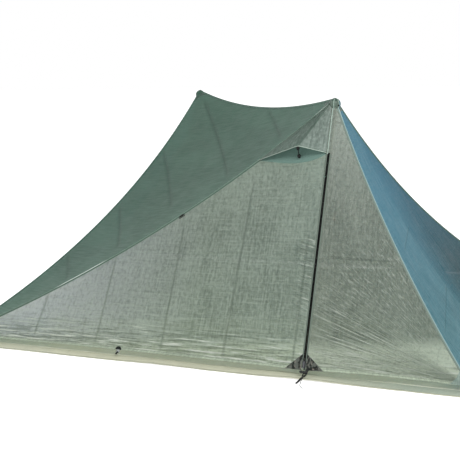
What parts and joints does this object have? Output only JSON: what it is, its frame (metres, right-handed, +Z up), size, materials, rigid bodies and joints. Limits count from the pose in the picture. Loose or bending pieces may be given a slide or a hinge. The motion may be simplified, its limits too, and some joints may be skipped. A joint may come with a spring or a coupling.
{
  "type": "two-pole tent",
  "caption": "Low two-peak shelter of taut translucent cloth on trekking poles, with zipped doors, peak vents, a mesh liner with a tub floor, and a groundsheet.",
  "frame": {"origin": "on the ground under the middle of the shelter", "axes": "+X along the front to the right, +Y from the front door to the rear door, +Z up"},
  "size_m": [2.8, 2.2777, 1.1769],
  "materials": {
    "roof_cloth": "translucent laminate cloth, dark green-grey, fine fibre crosshatch",
    "end_cloth": "translucent laminate cloth, blue-teal",
    "door_cloth": "translucent laminate cloth, pale grey-green",
    "side_cloth": "translucent laminate cloth, pale grey-green",
    "seam_cloth": "taped seam",
    "hood_cloth": "translucent laminate cloth with a stiffened white edge",
    "reinforcement": "dark reinforcement cloth",
    "pale_patch": "grey reinforcement cloth",
    "webbing": "black webbing and moulded buckles",
    "cap_plastic": "black moulded plastic",
    "cord": "pale braided cord",
    "zip_tape": "woven tape with a black coil",
    "zip_metal": "black enamel",
    "pull_metal": "steel",
    "mesh": "fine insect mesh",
    "tub_cloth": "coated floor cloth",
    "ground_cloth": "woven groundsheet, beige-green",
    "eyelet_metal": "plated ring",
    "grip_foam": "closed-cell foam",
    "pole_wide_metal": "anodised, dark",
    "clamp_plastic": "moulded",
    "lever_plastic": "moulded, orange",
    "pole_narrow_metal": "anodised, silver"
  },
  "bodies": {
    "shelter": {"roof_front": "roof_cloth", "roof_rear": "roof_cloth", "end_left": "end_cloth", "end_right": "end_cloth", "door_header_front": "door_cloth", "door_header_rear": "door_cloth", "side_front": "side_cloth", "side_rear": "side_cloth", "ridge_seam": "roof_cloth", "panel_seams": "seam_cloth", "peak_caps": "cap_plastic", "peak_patches": "reinforcement", "corner_patches": "pale_patch", "corner_adjusters": "webbing", "foot_patches": "pale_patch", "foot_adjusters": "webbing", "foot_cord": "cord", "zip_tape_fixed_front": "zip_tape", "zip_tape_fixed_rear": "zip_tape", "vent_hood_front": "hood_cloth", "vent_hood_rear": "hood_cloth", "vent_mesh": "mesh", "door_toggles": "webbing", "tub_floor": "tub_cloth", "tub_walls": "tub_cloth", "mesh_roof": "mesh", "mesh_ends": "mesh", "mesh_wall_front": "mesh", "mesh_wall_rear": "mesh", "mesh_hangers": "webbing", "groundsheet": "ground_cloth", "groundsheet_eyelets": "eyelet_metal", "pole_grip_front": "grip_foam", "pole_grip_rear": "grip_foam", "pole_wide_front": "pole_wide_metal", "pole_wide_rear": "pole_wide_metal", "pole_clamp_front": "clamp_plastic", "pole_clamp_rear": "clamp_plastic"},
    "door_front": {"door_flap_front": "door_cloth", "zip_tape_flap_front": "zip_tape", "hem_tie_front": "webbing"},
    "slider_front": {"zip_slider_front": "zip_metal"},
    "pull_front": {"zip_pull_front": "pull_metal"},
    "strut_front": {"vent_strut_front": "cap_plastic"},
    "inner_door_front": {"mesh_door_front": "mesh"},
    "upper_pole_front": {"pole_narrow_front": "pole_narrow_metal", "pole_tip_front": "cap_plastic"},
    "lever_front": {"pole_lever_front": "lever_plastic"},
    "door_rear": {"door_flap_rear": "door_cloth", "zip_tape_flap_rear": "zip_tape", "hem_tie_rear": "webbing"},
    "slider_rear": {"zip_slider_rear": "zip_metal"},
    "pull_rear": {"zip_pull_rear": "pull_metal"},
    "strut_rear": {"vent_strut_rear": "cap_plastic"},
    "inner_door_rear": {"mesh_door_rear": "mesh"},
    "upper_pole_rear": {"pole_narrow_rear": "pole_narrow_metal", "pole_tip_rear": "cap_plastic"},
    "lever_rear": {"pole_lever_rear": "lever_plastic"}
  },
  "joints": [
    {"name": "door_front_fold", "type": "hinge", "parent": "shelter", "child": "door_front", "pos_m": [0.5442, -0.66731, 0.82719], "axis": [-0.8809, -0.1917, -0.4327], "range_deg": [0, 110]},
    {"name": "zip_front_slide", "type": "slide", "parent": "shelter", "child": "slider_front", "axis": [0, 0.4222, 0.9065], "range_m": [0, 0.876]},
    {"name": "pull_front_swing", "type": "hinge", "parent": "slider_front", "child": "pull_front", "pos_m": [0.556, -1.02946, 0.0679], "axis": [-1, 0, 0], "range_deg": [0, 150]},
    {"name": "strut_front_fold", "type": "hinge", "parent": "shelter", "child": "strut_front", "pos_m": [0.41158, -0.6059, 0.90853], "axis": [0.9785, -0.1546, 0.1364], "range_deg": [0, 80]},
    {"name": "inner_door_front_swing", "type": "hinge", "parent": "shelter", "child": "inner_door_front", "pos_m": [-0.76562, -0.82306, 0.11116], "axis": [-0.7913, -0.2274, -0.5676], "range_deg": [0, 38]},
    {"name": "pole_front_slide", "type": "slide", "parent": "shelter", "child": "upper_pole_front", "axis": [0, 0, 1], "range_m": [-0.4, 0]},
    {"name": "lever_front_swing", "type": "hinge", "parent": "shelter", "child": "lever_front", "pos_m": [0.556, -0.5255, 0.6375], "axis": [-1, 0, 0], "range_deg": [0, 150]},
    {"name": "door_rear_fold", "type": "hinge", "parent": "shelter", "child": "door_rear", "pos_m": [-0.5442, 0.66731, 0.82719], "axis": [0.8809, 0.1917, -0.4327], "range_deg": [0, 110]},
    {"name": "zip_rear_slide", "type": "slide", "parent": "shelter", "child": "slider_rear", "axis": [0, -0.4222, 0.9065], "range_m": [0, 0.876]},
    {"name": "pull_rear_swing", "type": "hinge", "parent": "slider_rear", "child": "pull_rear", "pos_m": [-0.556, 1.02946, 0.0679], "axis": [1, 0, 0], "range_deg": [0, 150]},
    {"name": "strut_rear_fold", "type": "hinge", "parent": "shelter", "child": "strut_rear", "pos_m": [-0.41158, 0.6059, 0.90853], "axis": [-0.9785, 0.1546, 0.1364], "range_deg": [0, 80]},
    {"name": "inner_door_rear_swing", "type": "hinge", "parent": "shelter", "child": "inner_door_rear", "pos_m": [0.76562, 0.82306, 0.11116], "axis": [0.7913, 0.2274, -0.5676], "range_deg": [0, 38]},
    {"name": "pole_rear_slide", "type": "slide", "parent": "shelter", "child": "upper_pole_rear", "axis": [0, 0, 1], "range_m": [-0.4, 0]},
    {"name": "lever_rear_swing", "type": "hinge", "parent": "shelter", "child": "lever_rear", "pos_m": [-0.556, 0.5255, 0.6375], "axis": [1, 0, 0], "range_deg": [0, 150]}
  ]
}
